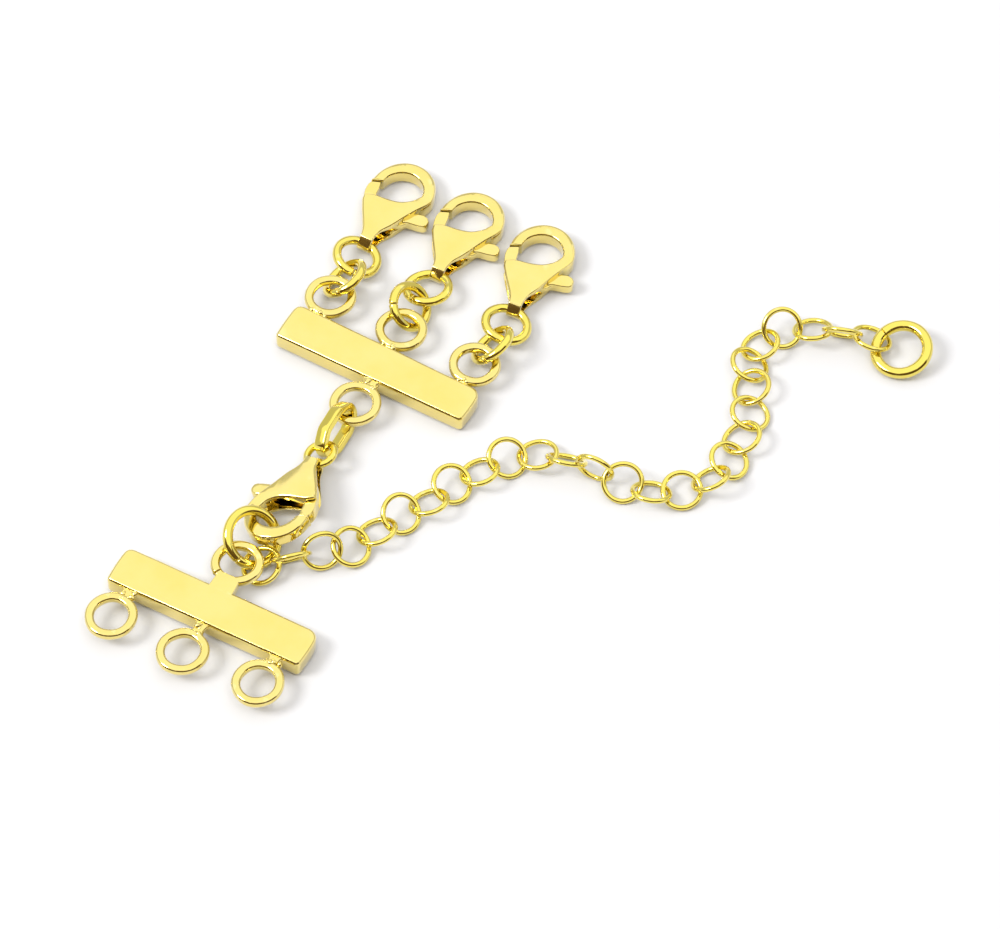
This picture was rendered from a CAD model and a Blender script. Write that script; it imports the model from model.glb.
import math

import bpy
import numpy as np
from mathutils import Matrix, Vector
from mathutils.geometry import delaunay_2d_cdt


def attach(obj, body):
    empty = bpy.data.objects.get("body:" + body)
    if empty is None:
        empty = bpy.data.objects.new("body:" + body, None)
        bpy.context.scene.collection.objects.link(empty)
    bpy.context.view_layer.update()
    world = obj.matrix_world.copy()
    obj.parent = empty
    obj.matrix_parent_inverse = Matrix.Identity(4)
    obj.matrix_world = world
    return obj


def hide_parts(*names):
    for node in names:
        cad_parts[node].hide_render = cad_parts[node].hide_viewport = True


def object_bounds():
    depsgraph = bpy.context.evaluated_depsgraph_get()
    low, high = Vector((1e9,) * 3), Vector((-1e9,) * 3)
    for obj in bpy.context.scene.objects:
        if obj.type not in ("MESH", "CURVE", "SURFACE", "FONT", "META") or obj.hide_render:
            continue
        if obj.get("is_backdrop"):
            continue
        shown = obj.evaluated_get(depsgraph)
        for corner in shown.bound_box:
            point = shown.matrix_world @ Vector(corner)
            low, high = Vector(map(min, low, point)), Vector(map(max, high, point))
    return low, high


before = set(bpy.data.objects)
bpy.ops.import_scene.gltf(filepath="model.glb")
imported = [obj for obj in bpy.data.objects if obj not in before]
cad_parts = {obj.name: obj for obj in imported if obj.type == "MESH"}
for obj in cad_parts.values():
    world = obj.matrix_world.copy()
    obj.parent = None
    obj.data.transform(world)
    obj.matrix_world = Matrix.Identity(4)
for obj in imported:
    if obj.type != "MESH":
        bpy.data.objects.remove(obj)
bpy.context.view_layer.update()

MM = 0.001
MAIN_BODY = "bars_and_chain"

# Camera: a long lens from the front right, looking down
LENS = 216
SENSOR = 36
CAMERA_AZIMUTH = 29.74
CAMERA_ELEVATION = 55.6
CAMERA_DISTANCE = 0.5687
CAMERA_TARGET = Vector((-1.68, 1.73, 0)) * MM

# Bars, in mm, with the corners' radii from the near left one round
BAR_LEN = 20.4
BAR_W = 4.2
BAR_T = 2
BAR_CORNERS = (0.45, 0.45, 1.15, 0.85)
BAR_TOP_EDGE = 0.4
BAR_UNDER_EDGE = 0.35
BAR_BELLY = 0.12
BAR_WAVER = 0.012
UPPER_BAR_AT = (0, 0.1)
UPPER_BAR_LIFT = 0.2
UPPER_BAR_TAPER = 0.04
LOWER_BAR_AT = (0.7, -31.5)
LOWER_BAR_LIFT = 0.3
LOWER_BAR_TURN = 1.75
# The point of the layout's grid that lies at the frame's origin
MIDDLE = (16.95, -4.9)

# Rings soldered to the bars: their places are from the middle of the bar
EYE_OD = 5
EYE_W = 0.9
EYE_H = 0.88
EYE_ROUND = 0.4
EYE_OVAL = 0.03
EYE_BUMPS = 0.012
UPPER_EYES = ((-8, 4.55), (-0.1, 4.55), (8.05, 4.5))
UPPER_SINGLE_EYE = (0.45, -5.1)
LOWER_EYES = ((-7.85, -5.25), (-0.05, -5.55), (7.8, -5.3))
LOWER_SINGLE_EYE = (-0.35, 5.35)
OPEN_END_AT = -122
OPEN_END = 0.08
CARRIER_T = 1
CARRIER_SINK = 0.004
NECK_HALF_W = 0.75
SINGLE_NECK_HALF_W = 0.95
NECK_SINK = 0.16
BEADS = 8
BEAD_SIZES = (0.16, 0.34)

# Loose rings: outer diameter, wire, and the heading of the seam seen from above
SEAM = 0.05
RINGS = {
    "link_ring_1": (5, 0.9, -60),
    "link_ring_2": (5, 0.9, -148),
    "link_ring_3": (5, 0.9, -65),
    "clasp_ring_1": (5, 0.9, -72),
    "clasp_ring_2": (5, 0.9, -99),
    "clasp_ring_3": (5, 0.9, -63),
    "tail_ring": (3.5, 0.72, -81),
    "hook_ring": (6.2, 0.98, -88),
    "end_ring": (6.1, 1.1, 160),
}
RING_STRAY = 0.015
LINK_OD = 4.1
LINK_WIRE = 0.52
LINK_STRAY = 0.025
LINK_TURN = 2.1
OVAL_LEN = 6.2
OVAL_W = 3.6
OVAL_BAND = 0.8
OVAL_DEEP = 1.2
OVAL_ROUND = 0.2
# How far the thickness of a wire varies, as a share of it
WIRE_UNEVEN = 0.02
# Where a seam is cut: distance from the cut and scale of the wire there, then where it is plain
SEAM_BEVEL = ((0, 0.8), (0.025, 0.93), (0.07, 1))
SEAM_CLEAR = 0.14

# Clasps: the tail is at the origin, the hook lies along Y
HOOK_REACH = 6.9
HOOK_R = 3.22
HOOK_BAND = 1.12
HOOK_DEEP = 1.65
HOOK_CROWN = 0.28
HOOK_DOME = 0.1
HOOK_OUTER_EDGE = 0.34
HOOK_INNER_EDGE = 0.2
HOOK_TIP_EDGE = 0.08
HOOK_MIDDLE = (0, HOOK_REACH)
INNER_R = HOOK_R - HOOK_BAND
CLASP_H = 2.25
MID = CLASP_H / 2
CLASP_WAVER = 0.006
SHEET_T = 0.36
LIP = 0.36
CHEEK_DROP = 0.07
CHEEK_FULL = 0.09
CHEEK_EDGE = 0.16
CHEEK_SOFTER_EDGE = 0.17
FOLD_T = 0.3
TAIL_W = 1.3
PIN_AT = (-1.2, 2.9)
PIN_R = 0.3
LEVER_T = 0.68
TAB_T = 1.14
NOSE_H = 1.2
NOSE_REACH = 4.05
NOSE_GAP = 0.1
OPEN_CLASPS = ((-8.5, 12.25, 0), (-0.55, 12.5, 2.5), (7.95, 12.5, 7.5))
FASTENED_AT = (1.06, -13.1, 0.87)
FASTENED_TURN = (4, 16, 183)
# The sides of a cheek and its edge on the hole, and the shoulder on which it falls to the hook
LEFT_EDGE = [
    (-TAIL_W / 2, 0), (-0.8, 0.5), (-1.08, 1.15), (-1.6, 2.0), (-2.15, 2.85), (-2.78, 3.95),
]
RIGHT_EDGE = [
    (3.05, 6.45), (2.85, 5.95), (2.48, 5.1), (1.98, 3.95), (1.4, 2.5), (0.87, 1.5), (0.67, 0.75),
]
HOLE_EDGE = [(-2.05, 4.92), (-0.9, 5.1), (-0.1, 5.25), (0.65, 5.48), (1.25, 5.85), (1.68, 6.3)]
SHOULDER = (5.2, 7.7)

# Random draws: the first seed of each kind of piece, and the range of a phase in radians
BAR_SEED = 1
UPPER_EYE_SEED = 10
UPPER_SOLDER_SEED = 20
LOWER_EYE_SEED = 40
LOWER_SOLDER_SEED = 50
SINGLE_EYE = 4
RING_SEED = 100
LINK_SEED = 200
CLASP_SEED = 300
PHASE = (0, 6.3)
# The slow waver of a polished surface: how many waves, how long in mm, and how they add up
WAVES = 5
WAVE_LENGTHS = (3, 9)
WAVES_TOGETHER = 2.5

# Meshes: loops over a rounded edge, and the angle from which an edge is sharp
EDGE_LOOPS = 6
SHARP_FROM = 34

# Gold: the scales of its noises, what they change, and the colours
TONE_SCALE = 330
TONE_RANGE = (0.36, 0.66)
TONE_SHARE = 0.55
WORN_RANGE = (0.51, 0.6)
WORN_SHARE = 0.6
WAVER_SCALE = 520
MARKS_SCALE = 9000
ROUGHER_MARKS = 0.05
ROUGHER_TONE = 0.07
SMOOTHER_WORN = 0.02
PALE = (0.82, 0.67, 0.18, 1)
DEEP = (0.81, 0.625, 0.11, 1)
RICH = (0.84, 0.7, 0.1, 1)
EDGE = (0.87, 0.76, 0.3, 1)
COAT_ROUGHNESS = 0.05
# For each slot: body colour, roughness, heights of the waver and the marks, index of the coat
GOLDS = {
    "polished_gold": (PALE, 0.11, 0.01, 0.0006, 1.65),
    "lever_gold": (PALE, 0.12, 0.01, 0.0009, 1.65),
    "ring_gold": (RICH, 0.07, 0.012, 0.0005, 1.35),
    "chain_gold": (RICH, 0.06, 0.01, 0.0005, 1.35),
}

# Studio, in metres. Lights: turn from the camera, elevation, distance, size, radiance, and
# whether the metal mirrors them. Dark cards: turn from the camera, width, height
LIGHTS = {
    "ceiling": (0, 90, 1.15, 3.8, 0.6, True),
    "key": (-76, 47, 1.2, 0.42, 17, True),
    "fill": (5, 66, 1.3, 0.9, 2.3, False),
}
DARK_CARDS = {
    "dark_room": (0, 0.8, 0.92),
    "dark_left": (-48, 0.7, 0.78),
    "dark_right": (48, 0.7, 0.8),
}
CARD_DISTANCE = 0.85
CARD_FOOT = 0.02
FLOOR_SIZE = 4
FLOOR_COLOUR = (0.625, 0.623, 0.636, 1)
DARK_COLOUR = (0.09, 0.05, 0.014, 1)
STUDIO_ROUGHNESS = 0.9
WORLD_COLOUR = (1, 1, 1, 1)
WORLD_STRENGTH = 0.7


def direction(azimuth, elevation):
    """The unit vector from the piece toward an azimuth and elevation in degrees."""
    a, e = math.radians(azimuth), math.radians(elevation)
    return Vector((math.sin(a) * math.cos(e), -math.cos(a) * math.cos(e), math.sin(e)))


def aim(thing, target):
    thing.rotation_mode = "QUATERNION"
    thing.rotation_quaternion = (target - thing.location).to_track_quat("-Z", "Y")


def put(name, data):
    thing = bpy.data.objects.new(name, data)
    bpy.context.scene.collection.objects.link(thing)
    return thing


camera = put("camera", bpy.data.cameras.new("camera"))
camera.data.lens = LENS
camera.data.sensor_width = SENSOR
camera.data.clip_start = 0.01
camera.data.clip_end = 10
camera.location = CAMERA_TARGET + direction(CAMERA_AZIMUTH, CAMERA_ELEVATION) * CAMERA_DISTANCE
aim(camera, CAMERA_TARGET)
bpy.context.scene.camera = camera


# Outlines, in mm


def unit(v):
    return v / np.linalg.norm(v)


def arc(centre, radius, start, end, count):
    """Points on an arc round the centre, angles in degrees."""
    t = np.radians(np.linspace(start, end, count))
    return np.column_stack([centre[0] + radius * np.cos(t), centre[1] + radius * np.sin(t)])


def even(outline, step):
    """A closed outline with points added so that none of its sides is longer than step."""
    made = []
    for a, b in zip(outline, np.roll(outline, -1, axis=0)):
        parts = max(1, math.ceil(np.linalg.norm(b - a) / step))
        made += [a + (b - a) * k / parts for k in range(parts)]
    return np.array(made)


def rounded(corners, radius, count=6):
    """A closed outline with each corner rounded; radius is one number or one for each corner."""
    corners = np.array(corners, float)
    radii = np.broadcast_to(radius, len(corners))
    under_half = 0.48
    made = []
    for before, at, after, r in zip(
        np.roll(corners, 1, axis=0), corners, np.roll(corners, -1, axis=0), radii
    ):
        to_before, to_after = before - at, after - at
        room = under_half * min(np.linalg.norm(to_before), np.linalg.norm(to_after))
        to_before, to_after = unit(to_before), unit(to_after)
        half = math.acos(max(-1, min(1, float(to_before @ to_after)))) / 2
        reach = min(room, r / max(math.tan(half), 1e-6))
        for t in np.linspace(0, 1, count):
            made.append(
                (1 - t) ** 2 * (at + to_before * reach)
                + 2 * t * (1 - t) * at
                + t**2 * (at + to_after * reach)
            )
    return np.array(made)


def through(points, count=6):
    """A smooth open line through the points."""
    points = np.array(points, float)
    ends = np.vstack([2 * points[0] - points[1], points, 2 * points[-1] - points[-2]])
    made = []
    for p0, p1, p2, p3 in zip(ends, ends[1:], ends[2:], ends[3:]):
        for t in np.arange(count) / count:
            made.append(
                0.5
                * (
                    2 * p1
                    + (p2 - p0) * t
                    + (2 * p0 - 5 * p1 + 4 * p2 - p3) * t**2
                    + (3 * p1 - p0 - 3 * p2 + p3) * t**3
                )
            )
    made.append(points[-1])
    return np.array(made)


def inward(outline):
    """For each point of a closed outline, the move that insets it by 1 mm."""
    side = np.roll(outline, -1, axis=0) - outline
    side = side / np.linalg.norm(side, axis=1)[:, None]
    normal = np.column_stack([-side[:, 1], side[:, 0]])
    before = np.roll(normal, 1, axis=0)
    both = normal + before
    return both / (1 + np.sum(normal * before, axis=1))[:, None]


def counterclockwise(outline):
    x, y = outline[:, 0], outline[:, 1]
    turned = np.sum(x * np.roll(y, -1) - y * np.roll(x, -1)) > 0
    return outline if turned else outline[::-1]


def box(w, h):
    """The corners of a rectangle, from the near left one round."""
    return [(-w / 2, -h / 2), (w / 2, -h / 2), (w / 2, h / 2), (-w / 2, h / 2)]


def circle(diameter, count):
    t = np.linspace(0, 2 * math.pi, count, endpoint=False)
    return np.column_stack([diameter / 2 * np.cos(t), diameter / 2 * np.sin(t)])


def tidy_outline(line, least=0.02):
    """The outline without points that all but coincide."""
    kept = [line[0]]
    for p in line[1:]:
        if np.linalg.norm(p - kept[-1]) > least:
            kept.append(p)
    return np.array(kept)


# Closed shells: points in mm, and faces


def walls(count, size, closed=False):
    """Faces between loops of so many points that follow one another."""
    faces = []
    for i in range(count if closed else count - 1):
        low, high = i * size, (i + 1) % count * size
        for j in range(size):
            k = (j + 1) % size
            faces.append((low + j, low + k, high + k, high + j))
    return faces


def skin(loops, closed=False):
    """A shell over a stack of loops.
    closed joins the last loop to the first; otherwise both ends are capped."""
    loops = np.asarray(loops, float)
    count, size, _ = loops.shape
    faces = walls(count, size, closed)
    if not closed:
        faces.append(tuple(range(size - 1, -1, -1)))
        faces.append(tuple(range((count - 1) * size, count * size)))
    points = loops.reshape(-1, 3)
    volume = 0
    for face in faces:
        a = points[face[0]]
        for b, c in zip(face[1:], face[2:]):
            volume += a @ np.cross(points[b], points[c])
    return points, faces if volume > 0 else [face[::-1] for face in faces]


def within(edge, step):
    """Points on a grid inside a closed outline, clear of its own points."""
    low, high = edge.min(0), edge.max(0)
    grid = np.meshgrid(*[np.arange(low[k] + step / 2, high[k], step) for k in (0, 1)])
    spots = np.column_stack([axis.ravel() for axis in grid])
    a, b = edge, np.roll(edge, -1, axis=0)
    x, y = spots[:, :1], spots[:, 1:]
    rise = np.where(a[:, 1] == b[:, 1], 1, b[:, 1] - a[:, 1])
    crossing = a[:, 0] + (y - a[:, 1]) * (b[:, 0] - a[:, 0]) / rise
    crossed = ((a[:, 1] > y) != (b[:, 1] > y)) & (x < crossing)
    clear = np.min(np.hypot(x - a[:, 0], y - a[:, 1]), axis=1) > 0.4 * step
    return spots[(crossed.sum(1) % 2 == 1) & clear]


def heights(surface, spots):
    """The heights of a surface, which is a number or a function of points in plan."""
    return surface(spots) if callable(surface) else np.full(len(spots), float(surface))


def plate(outline, bottom, top, under=0.1, upper=0.1, step=0.5, moves=None):
    """A solid over a counterclockwise outline between two surfaces, with rounded edges.
    An edge is one radius or one for each point; moves say which way each point is inset."""
    size = len(outline)
    moves = inward(outline) if moves is None else moves
    under, upper = np.broadcast_to(under, size), np.broadcast_to(upper, size)
    quarter = np.radians(np.linspace(0, 90, EDGE_LOOPS))
    loops = []
    for a in quarter:
        spots = outline + moves * (under * (1 - math.sin(a)))[:, None]
        loops.append(np.column_stack([spots, heights(bottom, spots) + under * (1 - math.cos(a))]))
    for a in quarter:
        spots = outline + moves * (upper * (1 - math.cos(a)))[:, None]
        loops.append(np.column_stack([spots, heights(top, spots) - upper * (1 - math.sin(a))]))
    points = np.vstack(loops)
    faces = walls(len(loops), size)
    for start, way, surface in ((0, -1, bottom), (size * (len(loops) - 1), 1, top)):
        edge = points[start : start + size, :2]
        spots = np.vstack([edge, within(edge, step)])
        made = delaunay_2d_cdt([Vector(p) for p in spots], [], [list(range(size))], 1, 1e-6)
        number, extra = {}, []
        for k, source in enumerate(made[3]):
            if source and source[0] < size:
                number[k] = start + source[0]
            else:
                number[k] = len(points) + len(extra)
                extra.append(tuple(made[0][k]))
        faces += [tuple(number[k] for k in face)[::way] for face in made[2]]
        if extra:
            extra = np.array(extra)
            points = np.vstack([points, np.column_stack([extra, heights(surface, extra)])])
    return points, faces


def swept_ring(radius, section, count, shape, turn=None, seam=0.0):
    """A ring round Z with the section (across, along Z). turn opens a seam of that width there.
    shape(angle) gives the change of radius, the rise, and the scale of the section."""
    angles = np.linspace(0, 2 * math.pi, count, endpoint=False)
    scales = np.ones(count)
    if turn is not None:
        first = math.radians(turn) + seam / 2 / radius
        last = first + 2 * math.pi - seam / radius
        plain = np.linspace(first + SEAM_CLEAR / radius, last - SEAM_CLEAR / radius, count)
        head = [first + away / radius for away, _ in SEAM_BEVEL]
        tail = [last - away / radius for away, _ in SEAM_BEVEL[::-1]]
        ends = [scale for _, scale in SEAM_BEVEL]
        angles = np.concatenate([head, plain, tail])
        scales = np.concatenate([ends, np.ones(count), ends[::-1]])
    loops = []
    for angle, scale in zip(angles, scales):
        grown, rise, thick = shape(angle)
        across = radius + grown + section[:, 0] * scale * thick
        along = rise + section[:, 1] * scale * thick
        loops.append(np.column_stack([across * math.cos(angle), across * math.sin(angle), along]))
    return skin(loops, closed=turn is None)


def placed(shell, matrix):
    points, faces = shell
    turned = np.array(matrix.to_3x3())
    return points @ turned.T + np.array(matrix.translation), faces


def set_down(shells, matrix):
    return [placed(shell, matrix) for shell in shells]


def uneven(shells, seed, amount):
    """The shells with a slow waver of that many mm, as hand polishing leaves it."""
    draw = np.random.default_rng(seed)
    waves = []
    for _ in range(WAVES):
        push = draw.normal(size=3)
        wave = 2 * math.pi / draw.uniform(*WAVE_LENGTHS) * unit(draw.normal(size=3))
        waves.append((push, wave, draw.uniform(*PHASE)))
    made = []
    for points, faces in shells:
        moved = points.copy()
        for push, wave, phase in waves:
            stray = amount / WAVES_TOGETHER * np.sin(points @ wave + phase)
            moved = moved + stray[:, None] * push
        made.append((moved, faces))
    return made


# Finishes


def feed(tree, socket, term):
    """Gives a socket a value, or links it to one."""
    if isinstance(term, Value):
        tree.links.new(term.socket, socket)
    else:
        socket.default_value = term


class Value:
    """A socket in a finish's nodes. Sums and products of it add Math nodes."""

    def __init__(self, tree, socket):
        self.tree = tree
        self.socket = socket

    def maths(self, operation, *terms):
        node = self.tree.nodes.new("ShaderNodeMath")
        node.operation = operation
        for socket, term in zip(node.inputs, terms):
            feed(self.tree, socket, term)
        return Value(self.tree, node.outputs[0])

    def __add__(self, other):
        return self.maths("ADD", self, other)

    def __sub__(self, other):
        return self.maths("SUBTRACT", self, other)

    def __mul__(self, other):
        return self.maths("MULTIPLY", self, other)

    __radd__ = __add__


class Finish:
    """A material made of nodes."""

    def __init__(self, name):
        self.material = bpy.data.materials.new(name)
        self.material.use_nodes = True
        self.tree = self.material.node_tree
        self.tree.nodes.clear()

    def node(self, kind, out, sockets=None, **settings):
        """Adds a node with its settings, then gives its sockets their values or links.
        Sockets and the output asked for go by name, or by number where a name comes twice."""
        node = self.tree.nodes.new(kind)
        for key, value in settings.items():
            setattr(node, key, value)
        for key, term in (sockets or {}).items():
            feed(self.tree, node.inputs[key], term)
        return Value(self.tree, node.outputs[out]) if out is not None else None

    def noise(self, at, scale, detail):
        sockets = {"Vector": at, "Scale": scale, "Detail": detail}
        return self.node("ShaderNodeTexNoise", "Fac", sockets)

    def spread(self, value, low, high):
        """The value spread so that low gives 0 and high gives 1."""
        sockets = {"Value": value, "From Min": low, "From Max": high}
        return self.node("ShaderNodeMapRange", "Result", sockets)

    def mix(self, share, first, second):
        """A colour between two, by a share from 0 to 1."""
        return self.node("ShaderNodeMix", 2, {0: share, 6: first, 7: second}, data_type="RGBA")

    def surface(self, **sockets):
        """Gives the material its shader; an underscore stands for a space in a socket's name."""
        sockets = {key.replace("_", " "): term for key, term in sockets.items()}
        shader = self.node("ShaderNodeBsdfPrincipled", "BSDF", sockets)
        self.node("ShaderNodeOutputMaterial", None, {"Surface": shader})
        return self.material


def gold(name, body_colour, roughness, waver, marks, coat_ior):
    """Polished yellow metal: slow changes of tone and brighter worn edges.
    The surface has a waver and fine polishing marks, both as heights in mm."""
    finish = Finish(name)
    at = finish.node("ShaderNodeTexCoord", "Object")
    slow = finish.noise(at, TONE_SCALE, 2)
    waves = finish.noise(at, WAVER_SCALE, 1)
    fine = finish.noise(at, MARKS_SCALE, 3)
    tone = finish.spread(slow, *TONE_RANGE)
    worn = finish.spread(finish.node("ShaderNodeNewGeometry", "Pointiness"), *WORN_RANGE)
    colour = finish.mix(tone * TONE_SHARE, body_colour, DEEP)
    colour = finish.mix(worn * WORN_SHARE, colour, EDGE)
    rough = roughness + (fine - 0.5) * ROUGHER_MARKS + (slow - 0.5) * ROUGHER_TONE
    rough = rough - worn * SMOOTHER_WORN
    relief = {"Strength": 1, "Distance": MM, "Height": waves * waver + fine * marks}
    bump = finish.node("ShaderNodeBump", "Normal", relief)
    return finish.surface(
        Base_Color=colour,
        Metallic=1,
        Roughness=rough,
        Coat_Weight=1,
        Coat_Roughness=COAT_ROUGHNESS,
        Coat_IOR=coat_ior,
        Normal=bump,
    )


def plain_finish(name, colour):
    return Finish(name).surface(Base_Color=colour, Roughness=STUDIO_ROUGHNESS)


FINISHES = {slot: gold(slot + "_finish", *values) for slot, values in GOLDS.items()}


# Pieces


def piece(name, node, slot, shells, body=MAIN_BODY):
    """One visible piece made of closed shells, in place of a node."""
    points, faces = [], []
    for shell_points, shell_faces in shells:
        start = len(points)
        points += [tuple(p) for p in shell_points * MM]
        faces += [tuple(start + k for k in face) for face in shell_faces]
    mesh = bpy.data.meshes.new(name)
    mesh.from_pydata(points, [], faces)
    mesh.validate()
    mesh.shade_smooth()
    mesh.set_sharp_from_angle(angle=math.radians(SHARP_FROM))
    mesh.materials.append(FINISHES[slot])
    obj = put(name, mesh)
    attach(obj, body)
    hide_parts(node)


def on_layout(x, y, z=0.0, turn=0.0):
    """A place on the grid of the layout, with a turn about the vertical."""
    place = Matrix.Translation((x - MIDDLE[0], y - MIDDLE[1], z))
    return place @ Matrix.Rotation(math.radians(turn), 4, "Z")


def plain_bar(taper=0.0):
    """The polished bar, its ends filed a little round."""
    line = even(rounded(box(BAR_LEN, BAR_W), BAR_CORNERS, 10), 0.4)
    belly = 1 - (line[:, 1] / (BAR_W / 2)) ** 2
    line[:, 0] += np.sign(line[:, 0]) * BAR_BELLY * belly
    line[:, 1] *= 1 - taper * line[:, 0] / (BAR_LEN / 2)
    return plate(line, 0, BAR_T, BAR_UNDER_EDGE, BAR_TOP_EDGE, 0.6)


def eye(at, seed, turn=None):
    """A soldered ring, flush with the top of the bar and not quite true."""
    phases = np.random.default_rng(seed).uniform(*PHASE, 3)

    def shape(angle):
        oval = EYE_OVAL * math.sin(2 * angle + phases[0])
        grown = oval + EYE_BUMPS * math.sin(5 * angle + phases[1])
        return grown, 0, 1 + WIRE_UNEVEN * math.sin(3 * angle + phases[2])

    section = rounded(box(EYE_W, EYE_H), EYE_ROUND, 5)
    ring = swept_ring((EYE_OD - EYE_W) / 2, section, 96, shape, turn, OPEN_END)
    return placed(ring, Matrix.Translation((at[0], at[1], BAR_T - EYE_H / 2)))


def bead(at, size, draw):
    """A bead of solder, a little longer one way."""
    stretch = size * (1 + draw.uniform(-0.2, 0.25, 3))
    phase = draw.uniform(*PHASE)
    t = np.linspace(0, 2 * math.pi, 14, endpoint=False)
    wave = 1 + 0.08 * np.sin(3 * t + phase)
    loops = []
    for tilt in np.radians(np.linspace(-84, 84, 9)):
        across = math.cos(tilt) * wave
        x = at[0] + stretch[0] * across * np.cos(t)
        y = at[1] + stretch[1] * across * np.sin(t)
        z = np.full(len(t), at[2] + stretch[2] * math.sin(tilt))
        loops.append(np.column_stack([x, y, z]))
    return skin(loops)


def solder(at, seed, wide=NECK_HALF_W):
    """The neck of solder between a bar's edge and a ring, with the beads that ran beside it."""
    draw = np.random.default_rng(seed)
    side = 1 if at[1] > 0 else -1
    start, end = BAR_W / 2 - 0.15, abs(at[1]) - EYE_OD / 2 + EYE_W / 2
    waist = (BAR_W / 2 + end) / 2
    lean = draw.uniform(-0.12, 0.12)
    right = [(wide, start), (wide * 0.72, waist), (wide * 1.05, end)]
    left = [(-wide * 0.9, end), (-wide * 0.62, waist), (-wide * 0.95, start)]
    neck = [(at[0] + lean + x, side * y) for x, y in right + left]
    neck = counterclockwise(even(rounded(neck, [0.1, 0.4, 0.1, 0.1, 0.4, 0.1]), 0.2))
    shells = [plate(neck, BAR_T - EYE_H + 0.05, BAR_T - NECK_SINK, 0.2, 0.25, 0.4)]
    for _ in range(BEADS):
        x = at[0] + lean + draw.uniform(-0.9, 1.2) * wide
        y = side * (BAR_W / 2 + draw.uniform(0.1, 1.0) * (end - BAR_W / 2))
        z = BAR_T - draw.uniform(0.16, 0.4)
        shells.append(bead((x, y, z), draw.uniform(*BEAD_SIZES), draw))
    return shells


def carrier():
    """The tab that carries the lower bar's single ring, its far corners run into the wire."""
    left, right = -1.45, 1.05
    near, far = BAR_W / 2 - 0.4, LOWER_SINGLE_EYE[1] - EYE_OD / 2 + EYE_W
    right_side = [(right, near), (right - 0.1, far - 0.45), (right - 0.35, far)]
    left_side = [(left + 0.45, far), (left + 0.05, far - 0.5)]
    corners = [(left, near)] + right_side + left_side
    line = even(rounded(corners, [0.1, 0.1, 0.5, 0.3, 0.3, 0.5]), 0.25)
    return plate(line, BAR_T - CARRIER_T, BAR_T - CARRIER_SINK, 0.1, 0.12)


def upper_bar_shells():
    shells = [plain_bar(UPPER_BAR_TAPER)]
    for k, at in enumerate(UPPER_EYES):
        shells += [eye(at, UPPER_EYE_SEED + k)] + solder(at, UPPER_SOLDER_SEED + k)
    single = eye(UPPER_SINGLE_EYE, UPPER_EYE_SEED + SINGLE_EYE)
    neck = solder(UPPER_SINGLE_EYE, UPPER_SOLDER_SEED + SINGLE_EYE, SINGLE_NECK_HALF_W)
    return shells + [single] + neck


def lower_bar_shells():
    shells = [plain_bar()]
    for k, at in enumerate(LOWER_EYES):
        shells += [eye(at, LOWER_EYE_SEED + k)] + solder(at, LOWER_SOLDER_SEED + k)
    single = eye(LOWER_SINGLE_EYE, LOWER_EYE_SEED + SINGLE_EYE, OPEN_END_AT)
    return shells + [single, carrier()]


BARS = {
    "upper_bar": (upper_bar_shells(), on_layout(*UPPER_BAR_AT, UPPER_BAR_LIFT)),
    "lower_bar": (lower_bar_shells(), on_layout(*LOWER_BAR_AT, LOWER_BAR_LIFT, LOWER_BAR_TURN)),
}
for number, (node, (shells, place)) in enumerate(BARS.items()):
    shells = uneven(set_down(shells, place), BAR_SEED + number, BAR_WAVER)
    piece(node + "_dressed", node, "polished_gold", shells)


def ring_place(node):
    """Where a ring of the frame lies: its own Z axis and middle, from the areas of its faces."""
    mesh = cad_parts[node].data
    count = len(mesh.polygons)
    centres = np.zeros(count * 3)
    areas = np.zeros(count)
    mesh.polygons.foreach_get("center", centres)
    mesh.polygons.foreach_get("area", areas)
    centres = centres.reshape(-1, 3) / MM
    middle = (centres * areas[:, None]).sum(0) / areas.sum()
    away = centres - middle
    _, axes = np.linalg.eigh((away * areas[:, None]).T @ away)
    axis, long_way = Vector(axes[:, 0]), Vector(axes[:, 2])
    if axis.z < 0:
        axis = -axis
    return middle, axis, long_way


def lying(middle, axis, heading):
    """The place of a ring whose own X axis points as near as it can toward a heading."""
    x = Vector(heading)
    x = (x - axis * x.dot(axis)).normalized()
    y = axis.cross(x)
    turned = Matrix((x, y, axis)).transposed().to_4x4()
    return Matrix.Translation(Vector(middle)) @ turned


def toward(angle):
    """A level heading, by its angle from X in radians."""
    return math.cos(angle), math.sin(angle), 0


def bent_by_hand(seed, amount):
    """How a hand-closed ring strays from a true one."""
    phases = np.random.default_rng(seed).uniform(*PHASE, 4)

    def shape(angle):
        oval = amount * math.sin(2 * angle + phases[0])
        grown = oval + 0.5 * amount * math.sin(3 * angle + phases[1])
        rise = 0.4 * amount * math.sin(2 * angle + phases[2])
        return grown, rise, 1 + WIRE_UNEVEN * math.sin(4 * angle + phases[3])

    return shape


for number, (node, (outer, wire, seam_heading)) in enumerate(RINGS.items()):
    middle, axis, _ = ring_place(node)
    bend = bent_by_hand(RING_SEED + number, RING_STRAY)
    ring = swept_ring((outer - wire) / 2, circle(wire, 24), 110, bend, 0, SEAM)
    place = lying(middle, axis, toward(math.radians(seam_heading)))
    piece(node + "_wire", node, "ring_gold", [placed(ring, place)])

chain_nodes = sorted(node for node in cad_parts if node.startswith("chain_link_"))
for number, node in enumerate(chain_nodes):
    middle, axis, _ = ring_place(node)
    bend = bent_by_hand(LINK_SEED + number, LINK_STRAY)
    link = swept_ring((LINK_OD - LINK_WIRE) / 2, circle(LINK_WIRE, 18), 80, bend)
    place = lying(middle, axis, toward(number * LINK_TURN))
    piece(node + "_wire", node, "chain_gold", [placed(link, place)])


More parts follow.
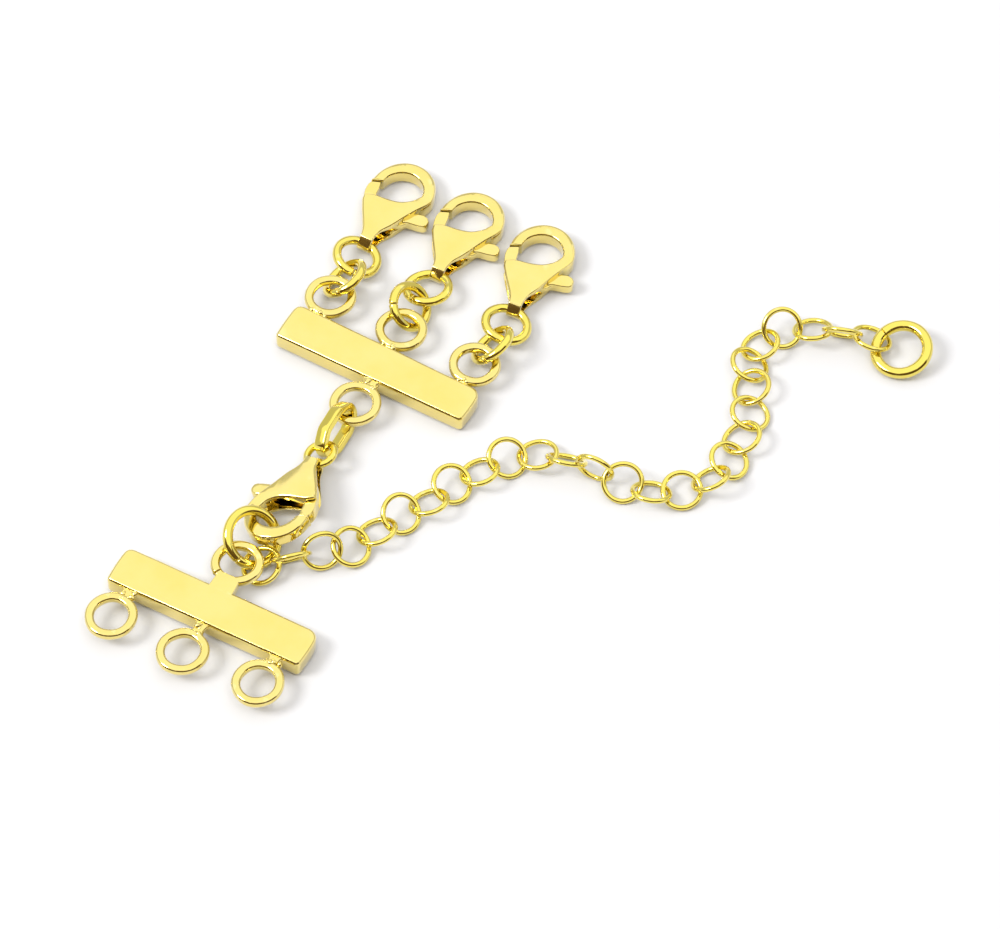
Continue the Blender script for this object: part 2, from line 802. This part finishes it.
def oval_shell():
    """The flat band of the oval link, bent to soft corners."""
    section = rounded(box(OVAL_BAND, OVAL_DEEP), OVAL_ROUND, 5)
    far_x, far_y = (OVAL_W - OVAL_BAND) / 2, (OVAL_LEN - OVAL_BAND) / 2
    quarter = [(far_x, far_y * 0.45), (far_x * 0.42, far_y)]
    corners = quarter + [(-x, y) for x, y in quarter[::-1]]
    corners += [(-x, -y) for x, y in corners]
    line = even(rounded(corners, 1.1, 9), 0.15)
    loops = []
    for at, into in zip(line, inward(line)):
        loops.append(np.column_stack([at - into * section[:, :1], section[:, 1]]))
    return skin(loops, closed=True)


middle, axis, long_way = ring_place("oval_link")
place = lying(middle, axis, axis.cross(long_way))
piece("oval_link_band", "oval_link", "ring_gold", [placed(oval_shell(), place)])


# Clasps


def tip_angle(radius):
    """Where the hook, at that radius, meets the arc round the pin that cuts its tip."""
    angles = np.linspace(90, 200, 2201)
    x = radius * np.cos(np.radians(angles)) - PIN_AT[0]
    y = HOOK_REACH + radius * np.sin(np.radians(angles)) - PIN_AT[1]
    return angles[np.argmax(np.hypot(x, y) < NOSE_REACH + NOSE_GAP)]


def cheek_top(spots):
    """The outer face of a cheek: a little full, and falling to the hook on the shoulder."""
    x, y = spots[:, 0], spots[:, 1]
    share = np.clip((y - SHOULDER[0]) / (SHOULDER[1] - SHOULDER[0]), 0, 1)
    fall = (MID - HOOK_DEEP / 2 + 0.012) * share**2 * (3 - 2 * share)
    full = CHEEK_FULL * np.exp(-(((x - 0.1) / 1.6) ** 2) - ((y - 3.2) / 1.9) ** 2)
    return CLASP_H - CHEEK_DROP - fall + full


def cheek_under(spots):
    """The inner face of a cheek, with the lip along its open side."""
    x, y = spots[:, 0], spots[:, 1]
    edge_x, edge_y = np.array(RIGHT_EDGE[::-1]).T
    near = np.clip((x - np.interp(y, edge_y, edge_x) + 0.4) / 0.25, 0, 1)
    return cheek_top(spots) - SHEET_T - LIP * near * np.clip((y - 1.3) / 1.5, 0, 1)


def cheek():
    """The upper cheek, from its square end at the tail to the shoulder of the hook."""
    inner = arc(HOOK_MIDDLE, INNER_R, 8, 42, 10)
    outer = arc(HOOK_MIDDLE, HOOK_R, 42, 3, 14)
    hole = through(HOLE_EDGE + [tuple(inner[0])])[:-1]
    left = through(LEFT_EDGE)
    corner = rounded([LEFT_EDGE[-1], (-2.9, 4.55), HOLE_EDGE[0]], [0, 0.6, 0], 8)[8:16]
    right = through([tuple(outer[-1])] + RIGHT_EDGE + [(TAIL_W / 2, 0)])[1:]
    outline = tidy_outline(np.vstack([left, corner, hole, inner, outer, right]))[::-1]
    moves = inward(outline)
    at_end = outline[:, 1] < 1e-6
    moves[at_end] = np.column_stack([-np.sign(outline[at_end, 0]), np.zeros(at_end.sum())])
    x, y = outline[:, 0], outline[:, 1]
    near_hole = np.exp(-(((x - 0.2) / 1.5) ** 4) - ((y - 5.3) / 0.6) ** 2)
    closed_side = np.clip((-0.5 - x) / 0.4, 0, 1) * np.clip((4.6 - y) / 0.3, 0, 1)
    edge = CHEEK_EDGE + CHEEK_SOFTER_EDGE * near_hole + CHEEK_SOFTER_EDGE * closed_side
    return plate(outline, cheek_under, cheek_top, 0.02, edge, 0.4, moves)


def turned_over(shell):
    """The same shell on the other side of the clasp's middle."""
    points, faces = shell
    return points * (1, 1, -1) + (0, 0, CLASP_H), [face[::-1] for face in faces]


def hook():
    """The hook, rounder on its outer side than on its inner side, and crisp at its tip."""
    inner = arc(HOOK_MIDDLE, INNER_R, tip_angle(INNER_R), -16, 60)
    outer = arc((0, 0), 1, 0, tip_angle(HOOK_R), 64)
    outer = outer * (HOOK_R + HOOK_CROWN * np.clip(outer[:, 1:], 0, 1) ** 2) + HOOK_MIDDLE
    root = [(1.86, 6.1), (2.66, 5.62), (2.84, 5.8), (3.02, 6.2), (3.15, 6.6)]
    outline = tidy_outline(np.vstack([inner, root, outer]), 0.03)
    from_middle = np.hypot(outline[:, 0], outline[:, 1] - HOOK_REACH)
    edge = np.where(from_middle > HOOK_R - 0.3, HOOK_OUTER_EDGE, HOOK_INNER_EDGE)
    edge[np.linalg.norm(outline - outer[-1], axis=1) < 0.3] = HOOK_TIP_EDGE

    def top(spots):
        off = np.hypot(spots[:, 0], spots[:, 1] - HOOK_REACH) - HOOK_R + 0.7
        return MID + HOOK_DEEP / 2 - HOOK_DOME * np.clip(off / 0.6, -1, 1) ** 2

    return plate(outline, lambda at: CLASP_H - top(at), top, edge, edge, 0.25)


def fold():
    """The sheet bent round the ring at the tail, its upper bend a flat facet."""
    half = [(0.12, -0.068), (0.04, -0.072), (-0.04, -0.12), (-0.3, -0.41), (-0.6, -0.74)]
    half += [(-0.7, -0.86), (-0.77, -1.0), (-0.79, -1.125)]
    line = np.array(half + [(y, -CLASP_H - z) for y, z in half[-2::-1]]) + (0, CLASP_H)
    along = np.gradient(line, axis=0)
    into = np.column_stack([-along[:, 1], along[:, 0]]) / np.linalg.norm(along, axis=1)[:, None]
    section = rounded([(-1, -1), (1, -1), (1, 0), (-1, 0)], [0.05, 0.05, 0.2, 0.2], 5)
    loops = []
    for (y, z), (into_y, into_z) in zip(line, into):
        across, deep = section[:, 0] * TAIL_W / 2, -section[:, 1] * FOLD_T
        loops.append(np.column_stack([across, y + into_y * deep, z + into_z * deep]))
    return skin(loops)


def side_wall():
    """The closed side between the cheeks, set in a little from their edges."""
    outside = [(-1.65, 2.27), (-2.05, 2.88), (-2.68, 4.05), (-2.68, 4.26)]
    inside = [(-2.45, 4.3), (-1.82, 2.95), (-1.4, 2.27)]
    wall = counterclockwise(even(rounded(outside + inside, 0.05, 3), 0.4))
    return plate(wall, SHEET_T - 0.08, CLASP_H - SHEET_T + 0.03, 0.01, 0.01)


def pin():
    return plate(arc(PIN_AT, PIN_R, 0, 345, 24), 0.2, CLASP_H - 0.2, 0.02, 0.02)


def clasp_shells():
    upper = cheek()
    return [upper, turned_over(upper), hook(), fold(), side_wall(), pin()]


def lever_shells():
    """The lever: a flat body round the pin, a nose and a thumb tab."""
    body = [
        (-2.4, 4.3), (-2.4, 4.55), (-1.9, 4.7), (0.2, 4.65), (1.6, 4.8), (2.3, 5),
        (2.6, 5), (2.35, 3.95), (2, 3.4), (0.6, 2.4), (-1.2, 2.45), (-1.48, 2.54),
    ]
    tab = [
        (1.8, 3.6), (2.4, 3.85), (3.3, 3.98), (3.95, 4.15), (4.17, 4.45),
        (4.15, 5), (3.85, 5.35), (3.35, 5.45), (2.75, 5.3), (2, 4.9),
    ]
    body = counterclockwise(even(rounded(body, 0.15, 4), 0.3))
    tab = counterclockwise(even(rounded(tab, 0.4, 4), 0.25))
    tip = arc(PIN_AT, NOSE_REACH, 105.8, 119.6, 7)
    outside = through([tuple(tip[-1]), (-3.28, 5.95), (-3.2, 5.3), (-2.95, 4.5)])[1:]
    nose = np.vstack([tip, outside, [(-2.75, 4.36), (-1.95, 4.36), (-1.98, 5.2), (-2.12, 6.2)]])
    nose = counterclockwise(even(nose, 0.25))
    inside = np.exp(-(((nose[:, 0] + 2.1) / 0.25) ** 2))
    return [
        plate(body, MID - LEVER_T / 2, MID + LEVER_T / 2, 0.1, 0.1),
        plate(tab, MID - TAB_T / 2, MID + TAB_T / 2, 0.18, 0.18, 0.4),
        plate(nose, MID - NOSE_H / 2, MID + NOSE_H / 2, 0.1 + 0.4 * inside, 0.08, 0.35),
    ]


def fastened_place():
    """The place of the fastened clasp, which is rolled and tipped on the hook ring."""
    turned = Matrix.Identity(4)
    for angle, name in zip(FASTENED_TURN[::-1], "ZYX"):
        turned = turned @ Matrix.Rotation(math.radians(angle), 4, name)
    return on_layout(*FASTENED_AT) @ turned


clasp_places = [on_layout(x, y, 0, turn) for x, y, turn in OPEN_CLASPS] + [fastened_place()]
for number, place in enumerate(clasp_places, 1):
    clasp, lever = f"clasp_{number}", f"lever_{number}"
    shells = uneven(clasp_shells(), CLASP_SEED + number, CLASP_WAVER)
    piece(clasp + "_sheet", clasp, "polished_gold", set_down(shells, place))
    piece(lever + "_sprung", lever, "lever_gold", set_down(lever_shells(), place), lever)


# Floor and light


def card(name, wide, high, location, target, finish):
    """A flat rectangle that belongs to the studio; without a target it lies level."""
    x, y = wide / 2, high / 2
    mesh = bpy.data.meshes.new(name)
    mesh.from_pydata([(-x, -y, 0), (x, -y, 0), (x, y, 0), (-x, y, 0)], [], [(0, 1, 2, 3)])
    mesh.materials.append(finish)
    obj = put(name, mesh)
    obj.location = location
    if target is not None:
        aim(obj, target)
    obj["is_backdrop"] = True


def soft_light(name, azimuth, elevation, distance, size, radiance, mirrored):
    """A square light; radiance is what a mirror shows of it."""
    light = bpy.data.lights.new(name, "AREA")
    light.shape = "SQUARE"
    light.size = size
    light.energy = radiance * math.pi * size**2
    obj = put(name, light)
    obj.location = CAMERA_TARGET + direction(azimuth, elevation) * distance
    aim(obj, CAMERA_TARGET)
    obj.visible_camera = False
    obj.visible_glossy = mirrored


white = plain_finish("floor_white", FLOOR_COLOUR)
card("floor", FLOOR_SIZE, FLOOR_SIZE, Vector((0, 0, 0)), None, white)

# The ceiling shows in the flat tops, the key comes from the left, the fill from above the camera
for name, (turn, *values) in LIGHTS.items():
    soft_light(name, CAMERA_AZIMUTH + turn, *values)

# The dark room round the camera shows as brown lines in the rounded edges
dark = plain_finish("dark_room", DARK_COLOUR)
for name, (turn, wide, high) in DARK_CARDS.items():
    level = CAMERA_TARGET + Vector((0, 0, CARD_FOOT + high / 2))
    away = direction(CAMERA_AZIMUTH + turn, 0) * CARD_DISTANCE
    card(name, wide, high, level + away, level, dark)

world = bpy.data.worlds.new("studio")
bpy.context.scene.world = world
world.use_nodes = True
background = world.node_tree.nodes["Background"]
background.inputs["Color"].default_value = WORLD_COLOUR
background.inputs["Strength"].default_value = WORLD_STRENGTH
bpy.context.scene.view_settings.view_transform = "Standard"

bpy.context.view_layer.update()
low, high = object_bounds()
